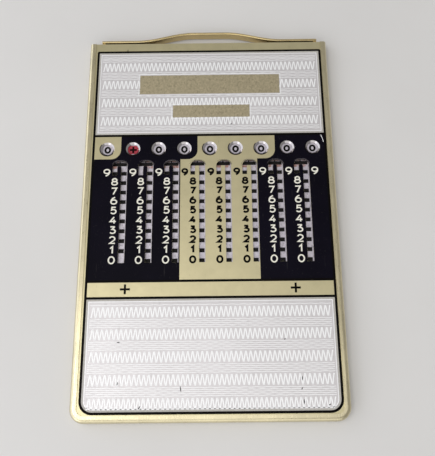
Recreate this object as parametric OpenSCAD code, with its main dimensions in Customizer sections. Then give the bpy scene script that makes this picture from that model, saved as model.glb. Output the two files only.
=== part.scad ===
// Two-sided slide adding machine: nine notched sliders in a folded case, with a reset bow.
// Millimetres. The machine lies on its back: X runs across it, +Y towards the bow, +Z out of
// its front face. The origin is under the middle of its overall box, on the surface it lies on.

/* [Case] */
// Mean distance from the reset arms to the sides of the case
side_w = 4.75; // [4.2:0.05:7]
// Radius of the two lower corners, seen from the front
corner_r = 5.5; // [4.5:0.1:6.5]
// Radius of the rim's rolled edge
edge_r = 1.6; // [1.2:0.1:1.9]
// Sheet thickness of the rim
rim_t = 0.4; // [0.3:0.05:0.5]
// Width of the rim, from its outer side to the edge of its lip
lip_w = 2.7; // [2.4:0.1:3]
// Sheet thickness of the front and back plates
plate_t = 0.5; // [0.4:0.05:0.7]
// Room between each plate and the sliders behind it
plate_room = 0.6; // [0.45:0.05:0.9]
// Clearance between the plates' edges and the rolled edge
plate_fit = 0.1; // [0.05:0.01:0.2]
// Clearance between the inner frame and the rim
frame_fit = 0.25; // [0.15:0.05:0.35]
// Width of the bar at the top end, which closes the case behind the plates
top_bar_w = 2.5; // [2:0.1:2.6]
// Diameter of the rivets that hold the frame together
frame_rivet_d = 1; // [0.8:0.1:1.2]
// Distance from the end of a rail to its first rivet
rail_rivet_end = 14; // [8:1:20]

/* [Windows] */
// Diameter of the hole in each window
window_d = 4.7; // [4.2:0.1:5]
// Outer diameter of the dish round each window
dish_d = 6.2; // [6.1:0.1:7]
// Sheet thickness left at the bottom of the dish
dish_t = 0.35; // [0.25:0.05:0.45]
// Gap between the dish and the slider under it
dish_gap = 0.1; // [0.05:0.01:0.2]
// Distance from the top of the slots to the middle of the windows
window_rise = 5.785; // [5.4:0.005:8]

/* [Slots] */
// Width of the long straight leg, over the notches of the slider on its right
leg_w = 2.55; // [2.2:0.05:2.8]
// Width of the short hooked leg, over the notches of the slider on its left
hook_w = 1.95; // [1.7:0.05:2.2]
// Width of the tongue between the two legs
tongue_w = 1.75; // [1.4:0.05:2]
// Radius at the tongue's tip
tongue_r = 0.5; // [0.3:0.05:0.7]
// Width of the passage over the tongue
arch_pass = 2.3; // [2:0.05:2.6]
// Radius of the arch's two corners
arch_r = 2.4; // [1.8:0.1:2.8]
// Distance from the uppermost notch's middle to the top of the arch
arch_over = 0.95; // [0.9:0.05:1.1]
// Distance from the lowest notch's middle to the slot's lower end
leg_end = 1.05; // [0.9:0.05:1.3]
// Distance from the hook's last notch to the lower end of the short leg
hook_end = 1.2; // [0.9:0.05:1.4]

/* [Sliders] */
// Distance from one slider to the next
slider_pitch = 11; // [10.8:0.05:11.1]
// Gap between neighbouring sliders
slider_gap = 0.5; // [0.3:0.05:0.6]
// Sheet thickness of the notched strips
rack_t = 0.6; // [0.4:0.05:0.8]
// Distance from one notch to the next
row_pitch = 4.28; // [4.2:0.01:4.34]
// Height of a notch
notch_h = 1.8; // [1.5:0.05:1.9]
// Depth of a notch from the slider's side
notch_d = 2.8; // [2:0.05:2.85]
// What a strip covers past the edge of a window
cover = 0.12; // [0.05:0.01:0.2]
// Sideways offset of the sliders from the middle of the case
mech_x = 0.5; // [0:0.1:0.6]
// Width of the core that runs in the guide plate
core_w = 3; // [2:0.1:4]
// Length of the core
core_l = 24; // [18:1:28]
// Diameter of the two rivets through each slider
rivet_d = 1.2; // [0.8:0.1:1.4]
// Distance between those two rivets
rivet_step = 4.8; // [3:0.1:6]

/* [Guide plate and clearances] */
// Thickness of the guide plate
guide_t = 0.5; // [0.4:0.05:0.8]
// Clearance between sliding pieces, face to face
run_gap = 0.1; // [0.06:0.01:0.15]
// Clearance between sliding pieces, side by side
slide_gap = 0.2; // [0.12:0.01:0.25]
// Clearance on each side of a core in its guide slot
core_gap = 0.08; // [0.05:0.01:0.15]
// Clearance at the ends of a slider's travel
end_gap = 0.15; // [0.1:0.01:0.2]
// Clearance round a rivet or tenon
rivet_gap = 0.02; // [0.01:0.01:0.03]

/* [Brake springs] */
// Thickness of the spring sheet
spring_t = 0.2; // [0.15:0.01:0.25]
// Width of the strip that is fixed to the plate
spring_base_w = 3.2; // [2:0.1:4]
// Distance from the slots' ends to the strip
spring_off = 1.2; // [0.6:0.1:2]
// Width of each finger
finger_w = 3; // [2:0.1:4]
// Length of a finger's slope
finger_slope = 4; // [3:0.1:5]
// Length of the tip that is turned up beyond the pad
finger_tip = 1; // [0.6:0.1:1.5]
// Length of the pad that rides on the slider
finger_pad = 1.4; // [1:0.1:2]
// Gap between the pad and the slider
pad_gap = 0.04; // [0.02:0.01:0.08]

/* [Reset bow] */
// Width of each reset arm
arm_w = 1.4; // [1.2:0.1:2]
// Gap between each reset arm and the dish of the window beside it
arm_gap = 0.1; // [0.06:0.01:0.2]
// Width of the crossbar that lifts the sliders
bar_w = 1.65; // [1.4:0.05:2]
// Gap between the case and the bow's ends
bow_gap = 0.8; // [0.6:0.05:1.5]
// Thickness of the bow
bow_t = 1.1; // [0.8:0.05:1.4]
// Width of the bow, through the machine's thickness
bow_w = 4.1; // [3.4:0.1:4.6]
// Radius of the bow's long edges
bow_edge_r = 0.45; // [0.2:0.05:0.5]
// Height of the bow's arch
bow_rise = 3.95; // [3.4:0.05:6]
// Distance from the bow's middle to the foot of the arch
bow_foot = 33; // [26:1:40]
// Half the length of the arch's flat crest
bow_crest = 7; // [4:1:12]
// Width of the tenon that joins an arm to the bow
tenon_w = 0.9; // [0.6:0.1:1]
// Diameter of the rivets between the arms and the crossbar
lap_rivet_d = 0.9; // [0.6:0.1:1]

/* [Hidden] */
$fn = 48;
slider_count = 9;
// Digit that each slider shows, from the left; -1 is the mark one row above zero
shown = [0, -1, 0, 0, 0, 0, 0, 0, 0];
// Rows that a slider can be pushed up and pulled down from zero
up_rows = 1;
down_rows = 10;
// Rows from the lowest notch up to the one that is labelled nine
label_rows = 9;
// How far a cutting shape goes past what it cuts
over = 1;
SLIDERS = [for (i = [1:slider_count]) i];

// Levels, measured from the middle of the guide plate towards either face
rack_z = guide_t / 2 + run_gap;
rack_top_z = rack_z + rack_t;
plate_z = rack_top_z + plate_room;
lip_z = plate_z + plate_t;
half_t = lip_z + rim_t;
thick = 2 * half_t;

// Places along the machine, measured from the middle of the case
plate_inset = edge_r + plate_fit;
roll_drop = max(0, edge_r - rim_t - plate_t);
core_inset = edge_r - sqrt(pow(edge_r - rim_t, 2) - pow(roll_drop, 2)) + frame_fit;
arch_y = row_y(label_rows + 1) + arch_over;
tip_y = arch_y - arch_pass;
window_y = arch_y + window_rise;
reach = window_y + (down_rows + up_rows) * row_pitch + window_d / 2 + cover;
bar_y = -(reach + end_gap + bar_w);
half_l = core_inset - bar_y;
case_l = 2 * half_l;
rack_low = -(window_y + up_rows * row_pitch + window_d / 2 + cover);
rack_high = window_y + down_rows * row_pitch + window_d / 2 + cover;
leg_low = row_y(0) - leg_end;
hook_low = row_y(label_rows) - hook_end;
// The rivets stay between the two windows wherever the slider stands
core_y = (down_rows - up_rows) * row_pitch / 2;
bow_y = half_l + bow_gap;
mid_y = (bow_gap + bow_rise + bow_t) / 2;

// Places across the machine, measured from the middle slider
half_span = (slider_count - 1) / 2 * slider_pitch;
half_slider = (slider_pitch - slider_gap) / 2;
arm_in = half_span + dish_d / 2 + arm_gap;
outer_half = arm_in - half_span - slide_gap;
arm_out = arm_in + arm_w;
case_w = 2 * (arm_out + side_w);
front_rail_in = arm_out + slide_gap;
back_rail_in = half_span + half_slider + slide_gap;
arm_t = plate_z - run_gap - rack_z;
lap_z = rack_z + arm_t / 2;

// Where the rivets of the frame sit
rail_rivets = 4;
bar_rivets = 3;
bar_rivet_x = half_span - slider_pitch / 2;
rail_rivet_x = (case_w / 2 - core_inset + back_rail_in) / 2;
top_rivet_y = half_l - top_bar_w / 2;
low_rivet_y = bar_y + bar_w / 2;

function row_y(row) = (row - label_rows / 2) * row_pitch;
function slider_x(i) = mech_x + (i - (slider_count + 1) / 2) * slider_pitch;
function rest_y(i) = -shown[i - 1] * row_pitch;
function reversed(list) = [for (i = [len(list) - 1:-1:0]) list[i]];
function between(low, high, count) = [for (i = [0:count - 1]) low + (high - low) * i / (count - 1)];

// Moves the case's middle so that the origin is under the middle of the overall box
module place() translate([0, -mid_y, half_t]) children();

// Turns a shape of the front side over to the back side, top to bottom
module turned(back) rotate([back ? 180 : 0, 0, 0]) children();

// ---- case ----

// Outline of the case drawn in by some distance, open at the top end
module outline(inset) {
    r = corner_r - inset;
    x = case_w / 2 - inset;
    y = -half_l + inset;
    translate([-x, y + r]) square([2 * x, half_l - y - r]);
    translate([r - x, y]) square([2 * (x - r), r + over]);
    for (side = [-1, 1]) translate([side * (x - r), y + r]) circle(r);
}

// Section of the rolled edge, filled in: across from the outer side, up from the middle
module roll(inset) {
    straight = half_t - edge_r;
    translate([inset, -straight]) square([lip_w, 2 * straight]);
    translate([edge_r, inset - half_t]) square([lip_w, thick - 2 * inset]);
    for (side = [-1, 1]) translate([edge_r, side * straight]) circle(edge_r - inset);
}

module rim_section() difference() {
    intersection() {
        roll(0);
        translate([0, -half_t]) square([lip_w, thick]);
    }
    roll(rim_t);
}

module rim() place() color("darkkhaki") {
    for (side = [0, 1]) mirror([side, 0, 0]) {
        translate([-case_w / 2, half_l, 0]) rotate([90, 0, 0])
            linear_extrude(case_l - corner_r) rim_section();
        translate([corner_r - case_w / 2, corner_r - half_l, 0]) rotate([0, 0, 180])
            rotate_extrude(angle = 90) translate([corner_r, 0]) mirror([1, 0]) rim_section();
    }
    translate([corner_r - case_w / 2, -half_l, 0]) rotate([90, 0, 90])
        linear_extrude(case_w - 2 * corner_r) rim_section();
}

// Opening of one hooked slot, with the gap between its two sliders at x = 0
module slot_shape() {
    left = -tongue_w / 2 - hook_w;
    right = tongue_w / 2 + leg_w;
    side_y = arch_y - arch_r;
    difference() {
        union() {
            translate([0, leg_low]) square([right, side_y - leg_low]);
            translate([left, hook_low]) square([-left, side_y - hook_low]);
            translate([left + arch_r, side_y]) square([right - left - 2 * arch_r, arch_r]);
            for (x = [left + arch_r, right - arch_r]) translate([x, side_y]) circle(arch_r);
        }
        tongue_shape();
    }
}

module tongue_shape() {
    translate([-tongue_w / 2, leg_low - over]) square([tongue_w, tip_y - tongue_r - leg_low + over]);
    translate([tongue_r - tongue_w / 2, leg_low]) square([tongue_w - 2 * tongue_r, tip_y - leg_low]);
    for (side = [-1, 1]) translate([side * (tongue_w / 2 - tongue_r), tip_y - tongue_r])
        circle(tongue_r);
}

// Section of a window's dish: radius across, up from the plate's outer face
dish_low = -plate_t - plate_room + dish_gap;
dish_slope = (dish_d - window_d) / 2 / (-dish_low - dish_t);

module dish_boss() rotate_extrude() polygon([
    [0, -plate_t / 2], [dish_d / 2, -plate_t / 2], [dish_d / 2, -plate_t],
    [window_d / 2 + dish_t, dish_low], [0, dish_low]
]);

module dish_cut() rotate_extrude() polygon([
    [0, over], [dish_d / 2 + dish_slope * over, over], [window_d / 2, dish_low + dish_t],
    [window_d / 2, dish_low - over], [0, dish_low - over]
]);

// A plate with its windows and slots; the back one has them turned top to bottom
module plate(back) {
    difference() {
        union() {
            translate([0, 0, back ? -lip_z : plate_z]) linear_extrude(plate_t) outline(plate_inset);
            turned(back) for (i = SLIDERS) translate([slider_x(i), window_y, lip_z]) dish_boss();
        }
        turned(back) for (i = SLIDERS) translate([slider_x(i), window_y, lip_z]) dish_cut();
        turned(back) for (i = [1:slider_count - 1])
            translate([slider_x(i) + slider_pitch / 2, 0, plate_z - over])
                linear_extrude(plate_t + 2 * over) slot_shape();
    }
}

module front_plate() place() color("midnightblue") plate(false);
module back_plate() place() color("midnightblue") plate(true);

// ---- inner frame ----

// A flat piece cut from the frame's outline, between two heights over the middle
module frame_piece(x0, x1, y0, y1, z0, z1) translate([0, 0, z0]) linear_extrude(z1 - z0)
    intersection() {
        outline(core_inset);
        translate([x0, y0]) square([x1 - x0, y1 - y0]);
    }

module rivet_bores(points, d, z0, z1) for (p = points)
    translate([p[0], p[1], z0]) cylinder(d = d, h = z1 - z0);

rail_ys = between(rail_rivet_end - half_l, half_l - rail_rivet_end, rail_rivets);
rail_points = [for (side = [-1, 1], y = rail_ys) [side * rail_rivet_x + mech_x / 2, y]];
top_points = [for (x = between(-bar_rivet_x, bar_rivet_x, bar_rivets)) [mech_x + x, top_rivet_y]];
low_points = [for (x = between(-bar_rivet_x, bar_rivet_x, bar_rivets)) [mech_x + x, low_rivet_y]];
frame_points = concat(rail_points, top_points, low_points);

module with_rivet_bores() difference() {
    children();
    rivet_bores(frame_points, frame_rivet_d + 2 * rivet_gap, -plate_z - over, plate_z + over);
}

module guide_plate() place() color("silver") with_rivet_bores() difference() {
    translate([0, 0, -guide_t / 2]) linear_extrude(guide_t) outline(core_inset);
    for (i = SLIDERS) guide_slot(slider_x(i));
}

// The slot leaves room for the core at both ends of its travel
module guide_slot(x) {
    w = core_w + 2 * core_gap;
    low = core_y - core_l / 2 - down_rows * row_pitch - end_gap;
    high = core_y + core_l / 2 + up_rows * row_pitch + end_gap;
    translate([x - w / 2, low, -guide_t]) cube([w, high - low, 2 * guide_t]);
}

module front_rail_left() place() color("tan") with_rivet_bores()
    frame_piece(-case_w / 2, mech_x - front_rail_in, -half_l, half_l, guide_t / 2, plate_z);
module front_rail_right() place() color("tan") with_rivet_bores()
    frame_piece(mech_x + front_rail_in, case_w / 2, -half_l, half_l, guide_t / 2, plate_z);
module back_rail_left() place() color("tan") with_rivet_bores()
    frame_piece(-case_w / 2, mech_x - back_rail_in, -half_l, half_l, -plate_z, -guide_t / 2);
module back_rail_right() place() color("tan") with_rivet_bores()
    frame_piece(mech_x + back_rail_in, case_w / 2, -half_l, half_l, -plate_z, -guide_t / 2);

module front_top_bar() place() color("tan") with_rivet_bores()
    frame_piece(mech_x - arm_in + slide_gap, mech_x + arm_in - slide_gap,
        half_l - top_bar_w, half_l, guide_t / 2, plate_z);
module back_top_bar() place() color("tan") with_rivet_bores()
    frame_piece(mech_x - back_rail_in, mech_x + back_rail_in,
        half_l - top_bar_w, half_l, -plate_z, -guide_t / 2);
module back_bottom_bar() place() color("tan") with_rivet_bores()
    frame_piece(mech_x - back_rail_in, mech_x + back_rail_in,
        bar_y, bar_y + bar_w, -plate_z, -guide_t / 2);

module frame_rivets() place() color("goldenrod") {
    rivet_bores(concat(rail_points, top_points), frame_rivet_d, -plate_z, plate_z);
    rivet_bores(low_points, frame_rivet_d, -plate_z, guide_t / 2);
}

// ---- brake springs ----

// Finger seen from the side: along the slider from the fixed strip, up from the guide plate
module finger_shape() {
    pad_z = rack_top_z + pad_gap;
    tip_z = (pad_z + plate_z - spring_t) / 2;
    end = spring_base_w + finger_slope + finger_pad;
    under = [[0, plate_z - spring_t], [spring_base_w, plate_z - spring_t],
        [spring_base_w + finger_slope, pad_z], [end, pad_z], [end + finger_tip, tip_z]];
    polygon(concat(under, reversed([for (p = under) [p[0], p[1] + spring_t]])));
}

module brake_spring(back) turned(back) translate([0, leg_low - spring_off, 0]) {
    for (i = SLIDERS) translate([slider_x(i) + finger_w / 2, 0, 0])
        rotate([90, 0, -90]) linear_extrude(finger_w) finger_shape();
    translate([slider_x(1) - finger_w / 2, -spring_base_w, plate_z - spring_t])
        cube([2 * half_span + finger_w, spring_base_w, spring_t]);
}

module front_brake_spring() place() color("peru") brake_spring(false);
module back_brake_spring() place() color("peru") brake_spring(true);

// ---- sliders ----

// The corners of one side's notches, from the bottom up
function notch_points(x, inner_x, rows) = [
    for (row = rows, corner = [[x, -1], [inner_x, -1], [inner_x, 1], [x, 1]])
        [corner[0], row_y(row) + corner[1] * notch_h / 2]
];

// Outline of a notched strip from its left side to its right side
module rack_shape(left, right, left_rows, right_rows) polygon(concat(
    [[left, rack_low]],
    notch_points(left, notch_d - half_slider, left_rows),
    [[left, rack_high], [right, rack_high]],
    reversed(notch_points(right, half_slider - notch_d, right_rows)),
    [[right, rack_low]]
));

module slider_rivet_bores(d) for (side = [-1, 1])
    translate([0, core_y + side * rivet_step / 2, -rack_top_z]) cylinder(d = d, h = 2 * rack_top_z);

module on_slider(i) place() translate([slider_x(i), rest_y(i), 0]) children();

all_rows = [0:label_rows + down_rows];
add_carry_rows = [label_rows:label_rows + down_rows];
sub_carry_rows = [-up_rows:label_rows];
no_rows = [];

// Front strip. The first and last ones are narrow on their outer side, beside the reset arms
module add_rack(i) on_slider(i) color("gainsboro") difference() {
    translate([0, 0, rack_z]) linear_extrude(rack_t) rack_shape(
        i == 1 ? -outer_half : -half_slider,
        i == slider_count ? outer_half : half_slider,
        i == 1 ? no_rows : all_rows,
        i == slider_count ? no_rows : add_carry_rows);
    slider_rivet_bores(rivet_d + 2 * rivet_gap);
}

// Back strip. Its carry notches serve the turned slots
module sub_rack(i) on_slider(i) color("gainsboro") difference() {
    translate([0, 0, -rack_top_z]) linear_extrude(rack_t) rack_shape(
        -half_slider, half_slider,
        i == 1 ? no_rows : all_rows,
        i == slider_count ? no_rows : sub_carry_rows);
    slider_rivet_bores(rivet_d + 2 * rivet_gap);
}

module slider_core(i) on_slider(i) color("tan") difference() {
    translate([-core_w / 2, core_y - core_l / 2, -rack_z]) cube([core_w, core_l, 2 * rack_z]);
    slider_rivet_bores(rivet_d + 2 * rivet_gap);
}

module slider_rivets(i) on_slider(i) color("goldenrod") slider_rivet_bores(rivet_d);

// ---- reset bow ----

function arch_rise(x) = abs(x) < bow_crest ? bow_rise : abs(x) > bow_foot ? 0
    : bow_rise * (1 + cos(180 * (abs(x) - bow_crest) / (bow_foot - bow_crest))) / 2;

// Corners of the bow's lower line: its end, then steps over half the arch
arch_steps = 16;
half_line = concat([arm_out], [for (i = [0:arch_steps])
    bow_foot + (bow_crest - bow_foot) * i / arch_steps]);
bow_line = concat([for (x = half_line) [-x, arch_rise(x)]],
    reversed([for (x = half_line) [x, arch_rise(x)]]));

// Outline of the bow's section: across its thickness, then through the machine's
edge_steps = 4;
bow_section = [for (quarter = [0:3], k = [0:edge_steps]) let (
        corner = 90 * quarter + 45,
        turn = 90 * (quarter + k / edge_steps))
    [sign(cos(corner)) * (bow_t / 2 - bow_edge_r) + bow_edge_r * cos(turn),
     sign(sin(corner)) * (bow_w / 2 - bow_edge_r) + bow_edge_r * sin(turn)]];

// The section carried along the bow's line
module bow_bar() {
    around = len(bow_section);
    last = len(bow_line) - 1;
    ring = [for (j = [0:around - 1]) j];
    polyhedron(
        points = [for (p = bow_line, s = bow_section) [p[0], p[1] + bow_t / 2 + s[0], s[1]]],
        faces = concat(
            [for (i = [0:last - 1], j = ring) let (next = (j + 1) % around)
                [i * around + j, (i + 1) * around + j, (i + 1) * around + next, i * around + next]],
            [reversed(ring)],
            [[for (j = ring) last * around + j]]));
}

module reset_bow() place() color("darkkhaki") difference() {
    translate([mech_x, bow_y, 0]) bow_bar();
    for (side = [-1, 1]) tenon(side, rivet_gap, over);
}

// Tenon that goes through the bow, with a clearance and something over for cutting its hole
module tenon(side, gap, past) {
    w = tenon_w + 2 * gap;
    translate([mech_x + side * (arm_in + arm_w / 2) - w / 2, bow_y - past, rack_z - gap])
        cube([w, bow_t + 2 * past, arm_t + 2 * gap]);
}

// The arm's lower end is halved where the crossbar lies over it
module reset_arm(side) {
    x0 = side < 0 ? mech_x - arm_out : mech_x + arm_in;
    difference() {
        union() {
            translate([x0, 0, rack_z]) cube([arm_w, bow_y, arm_t]);
            frame_piece(x0, x0 + arm_w, bar_y, bar_y + bar_w, rack_z, lap_z);
            translate([x0, bar_y + bar_w, rack_z]) cube([arm_w, -bar_y - bar_w, arm_t]);
            tenon(side, 0, 0);
        }
        lap_bore(lap_rivet_d + 2 * rivet_gap);
    }
}

module lap_bore(d) for (side = [-1, 1])
    translate([mech_x + side * (arm_in + arm_w / 2), low_rivet_y, rack_z]) cylinder(d = d, h = arm_t);

module reset_arm_left() place() color("darkkhaki") reset_arm(-1);
module reset_arm_right() place() color("darkkhaki") reset_arm(1);

module reset_crossbar() place() color("darkkhaki") difference() {
    union() {
        frame_piece(mech_x - arm_in, mech_x + arm_in, bar_y, bar_y + bar_w, rack_z, lap_z);
        frame_piece(mech_x - arm_out, mech_x + arm_out, bar_y, bar_y + bar_w, lap_z, rack_z + arm_t);
    }
    lap_bore(lap_rivet_d + 2 * rivet_gap);
}

module reset_rivets() place() color("goldenrod") lap_bore(lap_rivet_d);

rim();
front_plate();
back_plate();
guide_plate();
front_rail_left();
front_rail_right();
back_rail_left();
back_rail_right();
front_top_bar();
back_top_bar();
back_bottom_bar();
frame_rivets();
front_brake_spring();
back_brake_spring();
reset_bow();
reset_arm_left();
reset_arm_right();
reset_crossbar();
reset_rivets();
for (i = SLIDERS) {
    add_rack(i);
    sub_rack(i);
    slider_core(i);
    slider_rivets(i);
}
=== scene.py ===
"""Finishes a two-sided slide adding machine: printed plates, marked sliders, brass case and bow."""

import math

import bmesh
import bpy
from mathutils import Euler, Matrix, Vector


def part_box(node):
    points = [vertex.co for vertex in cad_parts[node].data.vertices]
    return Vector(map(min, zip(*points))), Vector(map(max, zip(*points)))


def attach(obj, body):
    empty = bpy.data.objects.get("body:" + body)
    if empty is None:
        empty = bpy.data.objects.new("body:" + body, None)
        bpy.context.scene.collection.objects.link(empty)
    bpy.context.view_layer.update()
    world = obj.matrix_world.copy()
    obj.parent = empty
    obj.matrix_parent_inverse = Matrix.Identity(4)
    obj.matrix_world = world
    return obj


bl_info = {
    "name": "Slide Adding Machine Finish",
    "version": (1, 0, 0),
    "blender": (4, 5, 0),
    "location": "3D View > Sidebar > Adding Machine",
    "description": "Prints the plates and sliders of a slide adding machine and finishes its metal",
    "category": "Object",
}

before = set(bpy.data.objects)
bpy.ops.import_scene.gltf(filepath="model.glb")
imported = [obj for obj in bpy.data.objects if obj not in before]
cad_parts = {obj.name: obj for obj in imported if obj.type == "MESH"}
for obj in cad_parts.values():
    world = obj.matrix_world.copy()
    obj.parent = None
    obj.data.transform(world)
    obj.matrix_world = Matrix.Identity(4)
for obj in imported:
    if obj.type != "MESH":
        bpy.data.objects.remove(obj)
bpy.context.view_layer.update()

MM = 0.001
SIDES = ("front", "back")
PANELS = ("bottom", "top")
SLIDERS = range(1, 10)
SLOTS = range(1, 9)


def middle_of(node):
    """The middle of a CAD piece's box at rest."""
    low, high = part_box(node)
    return (low + high) / 2


# The artwork is drawn from the middle of the case, with the side that is drawn facing up
MIDDLE = middle_of("rim")
PLATE_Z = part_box("front_plate")[1].z - MIDDLE.z
STRIP_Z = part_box("add_rack_1")[1].z - MIDDLE.z
SLIDER_X = {i: middle_of(f"sub_rack_{i}").x - MIDDLE.x for i in SLIDERS}
REST_Y = {i: middle_of(f"slider_core_{i}").y - middle_of("slider_core_1").y for i in SLIDERS}
SLOT_X = {i: (SLIDER_X[i] + SLIDER_X[i + 1]) / 2 for i in SLOTS}

# Prints that overlap are thicker by these factors than their layer, so that no two lie level
NICK_LAYER = 1.1
EDGE_LAYER = 1.2
RUB_LAYER = 1.3
BRIGHT_LAYER = 1.5
# How far a cutting shape reaches over and under the print
CUT = MM
# The sharpest mitre of a stroke's corner, as the cosine of half its turn
MITRE_LIMIT = 0.4
# Flat pieces in a quarter of a rounded corner
CORNER_STEPS = 8
# Points on one wave of a ruled line
WAVE_POINTS = 8
# Inputs of a mix node that mixes colours, which share their names with its other inputs
MIX_FACTOR, MIX_UNDER, MIX_OVER = 0, 6, 7


# ---- sizes and colours that a user would change ----


def linear(hex_colour):
    """Turns an sRGB colour written as RRGGBB into linear values."""
    channels = [int(hex_colour[i : i + 2], 16) / 255 for i in (0, 2, 4)]
    return tuple(c / 12.92 if c <= 0.04045 else ((c + 0.055) / 1.055) ** 2.4 for c in channels)


def length(name, description, millimetres):
    """A property for a length, with its default in millimetres."""
    return bpy.props.FloatProperty(
        name=name, description=description, default=millimetres * MM, precision=5, unit="LENGTH"
    )


def colour(name, description, hex_colour):
    """A property for a colour, with its default in sRGB hex."""
    return bpy.props.FloatVectorProperty(
        name=name, description=description, default=linear(hex_colour), min=0, max=1, subtype="COLOR"
    )


def spot(name, description, millimetres):
    """A property for a place, with its default in millimetres."""
    place = tuple(value * MM for value in millimetres)
    return bpy.props.FloatVectorProperty(
        name=name, description=description, default=place, precision=5, subtype="TRANSLATION", unit="LENGTH"
    )


def watts(name, description, power):
    """A property for the power of a lamp."""
    return bpy.props.FloatProperty(name=name, description=description, default=power, unit="POWER")


class ADDER_PG_plate_sizes(bpy.types.PropertyGroup):
    """Where the artwork of each plate lies, measured from the middle of the case."""

    border_left: length("Border Left", "Place of the border line's left side", -49.4)
    border_right: length("Border Right", "Place of the border line's right side", 50.1)
    border_top: length("Border Top", "Height of the border line's upper side", 78.2)
    border_low: length("Border Bottom", "Height of the border line's lower side", -78.95)
    border_r: length("Border Corner", "Radius of the border line's lower corners", 4.6)
    border_top_r: length("Border Top Corner", "Radius of the border line's upper corners", 0.3)
    line_w: length("Line Width", "Width of the black lines", 0.98)
    panel_top: length("Dark Panel Top", "Height of the line over the dark panel", 36.5)
    band_top: length("Band Top", "Height of the line over the gold band", -27.95)
    band_low: length("Band Bottom", "Height of the line under the gold band", -34.75)
    film_t: length("Film Thickness", "Thickness of one printed layer", 0.03)
    ink_t: length("Ink Thickness", "Thickness of the inked lines and numbers", 0.06)
    plaque_t: length("Plaque Thickness", "Thickness of the blank plaques' ink", 0.052)
    plaque_edge: length("Plaque Edge", "Width of the bright line round a plaque", 0.2)
    # The dark crescent beside each dish is painted shade
    dish_shade_w: length("Dish Shade Width", "Widest part of the dark line beside a dish", 0.28)
    nick_w: length("Nick Width", "Width of a nick or scratch", 0.45)
    tab_right: length("Tab Right", "Right side of the gold tab round the first window", -37.6)
    tab_low: length("Tab Bottom", "Lower side of that tab", 25.5)
    field_r: length("Field Corner", "Radius of the gold fields' round corners", 4.2)
    upper_left: length("Upper Field Left", "Left side of the gold field round the windows", -4.8)
    upper_right: length("Upper Field Right", "Right side of that field", 28.3)
    upper_low: length("Upper Field Bottom", "Lower side of that field", 25.2)
    lower_left: length("Lower Field Left", "Left side of the gold field round the slots", -12.1)
    lower_right: length("Lower Field Right", "Right side of that field", 20.55)
    plaque_left: length("Plaque Left", "Left side of the large blank plaque", -30.3)
    plaque_right: length("Plaque Right", "Right side of the large blank plaque", 31.4)
    plaque_low: length("Plaque Bottom", "Lower side of the large blank plaque", 56.7)
    plaque_top: length("Plaque Top", "Upper side of the large blank plaque", 66.0)
    small_left: length("Small Plaque Left", "Left side of the small blank plaque", -15.6)
    small_right: length("Small Plaque Right", "Right side of the small blank plaque", 17.9)
    small_low: length("Small Plaque Bottom", "Lower side of the small blank plaque", 45.1)
    small_top: length("Small Plaque Top", "Upper side of the small blank plaque", 51.0)
    sign_left: length("Left Sign", "Place of the left sign on the band", -33.8)
    sign_right: length("Right Sign", "Place of the right sign on the band", 34.4)
    sign_y: length("Sign Height", "Height of the signs on the band", -31.2)
    sign_size: length("Sign Size", "Width of a sign on the band", 4.0)
    sign_w: length("Sign Stroke", "Stroke width of a sign on the band", 0.85)


class ADDER_PG_zigzag_sizes(bpy.types.PropertyGroup):
    """The rows of engine-turned zigzags on the silver panels, and the ruled lines between them."""

    low_first: length("First Bottom Row", "Height of the bottom panel's uppermost row", -40.5)
    low_step: length("Bottom Row Spacing", "Distance from row to row on the bottom panel", 8.76)
    low_rows: bpy.props.IntProperty(name="Bottom Rows", description="Rows on the bottom panel", default=5)
    top_first: length("First Top Row", "Height of the top panel's lowest row", 43.55)
    top_step: length("Top Row Spacing", "Distance from row to row on the top panel", 8.93)
    top_rows: bpy.props.IntProperty(name="Top Rows", description="Rows on the top panel", default=4)
    row_h: length("Row Height", "Height of a row", 4.2)
    period: length("Period", "Length of one zigzag", 1.86)
    stroke_w: length("Stroke", "Width of the bright stroke", 0.46)
    tip_w: length("Tip", "Width of the flat tip of a zigzag", 0.3)
    rule_step: length("Ruled Line Spacing", "Distance between the fine ruled lines", 0.75)
    rule_w: length("Ruled Line", "Width of a fine ruled line", 0.22)
    rule_wave: length("Ruled Wave", "Height of the waves of a ruled line", 0.16)
    rule_period: length("Ruled Wave Length", "Length of the waves of a ruled line", 4.4)
    side_gap: length("Side Gap", "Distance from the border line to a row's end", 2.1)
    frame_gap: length("Frame Gap", "Distance from the border line to the fine frame line", 1.5)
    edge_w: length("Edge Strip", "Width of the grey strip inside the border", 0.9)
    frame_w: length("Frame Line", "Width of the fine frame line", 0.25)


class ADDER_PG_slot_sizes(bpy.types.PropertyGroup):
    """The windows and hooked slots that the artwork leaves open, as the plates have them."""

    row_pitch: length("Row Pitch", "Distance from one notch to the next", 4.28)
    window_y: length("Window Height", "Height of the windows over the middle", 30.275)
    dish_d: length("Dish", "Outer diameter of the dish round a window", 6.2)
    leg_w: length("Leg", "Width of the long leg", 2.55)
    hook_w: length("Hook", "Width of the short hooked leg", 1.95)
    tongue_w: length("Tongue", "Width of the tongue between the legs", 1.75)
    tongue_r: length("Tongue Radius", "Radius at the tongue's tip", 0.5)
    arch_r: length("Arch Radius", "Radius of the arch's corners", 2.4)
    arch_y: length("Arch Top", "Height of the arch's top", 24.49)
    tip_y: length("Tongue Tip", "Height of the tongue's tip", 22.19)
    leg_low: length("Leg End", "Height of the long leg's lower end", -20.31)
    hook_low: length("Hook End", "Height of the hook's lower end", 18.06)
    bare_edge: length("Bare Edge", "Bare metal left round a slot or dish by the print", 0.02)


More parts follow.
